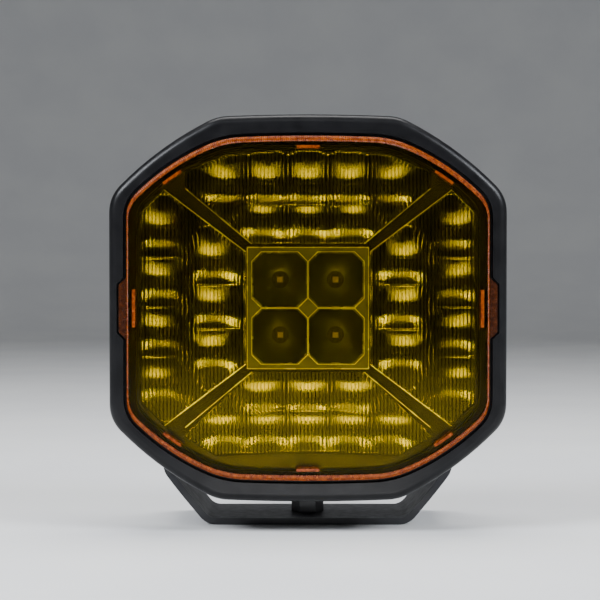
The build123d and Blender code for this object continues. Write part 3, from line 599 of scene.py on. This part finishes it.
def plate_mesh(edge, front):
    """The flat yellow plate inside the rim."""
    build = bmesh.new()
    outline = [place + inward * PLATE_INSET * side_taper(inward)
               for place, inward in edge[::PLATE_STRIDE]]
    skin(build, [[vertex(build, p.x, front + depth * MM, p.y) for p in outline]
                 for depth in (PLATE_FRONT, PLATE_BACK)], closed=False)
    return build


def rim_mesh(edge, skirt):
    """The toothed rim and the skirt behind it."""
    build = bmesh.new()
    profile = [(0.0, skirt), (0.0, RIM_SLOPE_DEPTH), (RIM_SLOPE_INSET, RIM_CREST_DEPTH),
               (RIM_CREST_INSET, RIM_CREST_DEPTH), (RIM_WIDTH, 0.0), (RIM_WIDTH, PLATE_BACK),
               (SKIRT_INSET, PLATE_BACK + SKIRT_STEP), (SKIRT_INSET, skirt)]
    add_band(build, edge, profile, tapered=True, tooth=TOOTH_HEIGHT)
    return build


def clip_mesh(edge, skirt):
    """Six spring legs, and an upright rib beside each tab."""
    build = bmesh.new()
    side = edge[0][0].x
    runs = [(place, LEG_HALF, LEG_INSETS, skirt + LEG_PAST_SKIRT) for place in LEG_PLACES]
    runs += [((hand * side, 0), RIB_HALF, RIB_INSETS, skirt) for hand in (-1, 1)]
    for place, half_length, (outer, inner), back in runs:
        profile = [(outer, CLIP_FRONT), (inner, CLIP_FRONT), (inner, back), (outer, back)]
        add_band(build, near(edge, place, half_length), profile)
    return build


def tab_mesh(tip, front):
    """Both pull tabs, with their ends cut and their edges rounded."""
    build = bmesh.new()
    root_half, tip_half = TAB_HALVES
    outline = [(tip - TAB_OUT, root_half), (tip, tip_half), (tip, -tip_half), (tip - TAB_OUT, -root_half)]
    for hand in (-1, 1):
        skin(build, [[vertex(build, hand * x, front + depth * MM, z) for x, z in outline]
                     for depth in TAB_DEPTHS], closed=False)
    bmesh.ops.recalc_face_normals(build, faces=build.faces)
    bmesh.ops.bevel(build, geom=build.edges, offset=TAB_ROUND * MM, segments=2, affect="EDGES")
    return build


def add_cover(finishes):
    """The cover's yellow plate, its toothed orange rim, its clips and its pull tabs."""
    low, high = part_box("amber_cover")
    skirt = (FACE_FRONT - low.y) / MM + RECESS_DEPTH
    edge = cover_edge(TOOTH_PITCH / 2)
    pieces = {
        "cover_plate": (plate_mesh(edge, low.y), "amber"),
        "cover_rim": (rim_mesh(edge, skirt), "amber_rim"),
        "cover_clips": (clip_mesh(edge, skirt), "amber_rim"),
        "cover_tabs": (tab_mesh(high.x / MM, low.y), "amber_tab"),
    }
    for name, (build, finish) in pieces.items():
        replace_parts(new_piece(name, build, "cover", finishes[finish]), "amber_cover")


# ---- Bright edges of the deep cups and of the dark frame ----
CUP_OFFSET = 16.4
CUP_HALF = 16.38
CUP_CUT = 5.5
CUP_BEVEL = [(0.0, 0.0), (0.35, 0.0), (1.1, 2.2), (0.0, 2.2)]
CUP_LIFT = 0.05
BLOCK_HALF = 35.2
BAND_EDGES = [((36.1, 32.7), (83.2, 68.4)), ((32.7, 37.2), (71.1, 69.3))]
LINE_PROFILE = [(-0.4, 0.35), (-0.16, 0.0), (0.16, 0.0), (0.4, 0.35)]
LINE_LIFT = 0.15


def add_cup_edges(material):
    """The bevelled edges of the four deep cups, each a square with cut corners."""
    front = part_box("centre_reflector")[0].y - CUP_LIFT * MM
    build = bmesh.new()
    for cup_x in (-CUP_OFFSET, CUP_OFFSET):
        for cup_z in (-CUP_OFFSET, CUP_OFFSET):
            rings = []
            for inset, depth in CUP_BEVEL:
                far = CUP_HALF - inset
                cut = far - CUP_CUT
                outline = [(far, cut), (cut, far), (-cut, far), (-far, cut),
                           (-far, -cut), (-cut, -far), (cut, -far), (far, -cut)]
                rings.append([vertex(build, cup_x + x, front + depth * MM, cup_z + z) for x, z in outline])
            skin(build, rings, closed=True)
    new_piece("cup_edges", build, "head", material)


def add_trim_lines(material):
    """Fine raised lines along both sides of the diagonal bands and round the centre block."""
    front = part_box("spoke_frame")[0].y - LINE_LIFT * MM
    runs = [(Vector((flip_x * x1, flip_z * z1)), Vector((flip_x * x2, flip_z * z2)))
            for (x1, z1), (x2, z2) in BAND_EDGES for flip_x in (-1, 1) for flip_z in (-1, 1)]
    block = [Vector((x * BLOCK_HALF, z * BLOCK_HALF)) for x, z in ((1, 1), (-1, 1), (-1, -1), (1, -1))]
    runs += list(zip(block, block[1:] + block[:1]))
    build = bmesh.new()
    for start, end in runs:
        along = (end - start).normalized()
        across = Vector((-along.y, along.x))
        rings = []
        for place in (start, end):
            spots = [(place + offset * across, depth) for offset, depth in LINE_PROFILE]
            rings.append([vertex(build, spot.x, front + depth * MM, spot.y) for spot, depth in spots])
        skin(build, rings, closed=False)
    new_piece("trim_lines", build, "head", material)


add_camera()
add_lights()
add_floor()
FINISHES = finish_nodes()
for panel in ("top", "bottom", "left", "right"):
    add_bowls(panel, FINISHES["mirror_plate"])
add_cover(FINISHES)
add_cup_edges(FINISHES["cup_edge"])
add_trim_lines(FINISHES["cup_edge"])
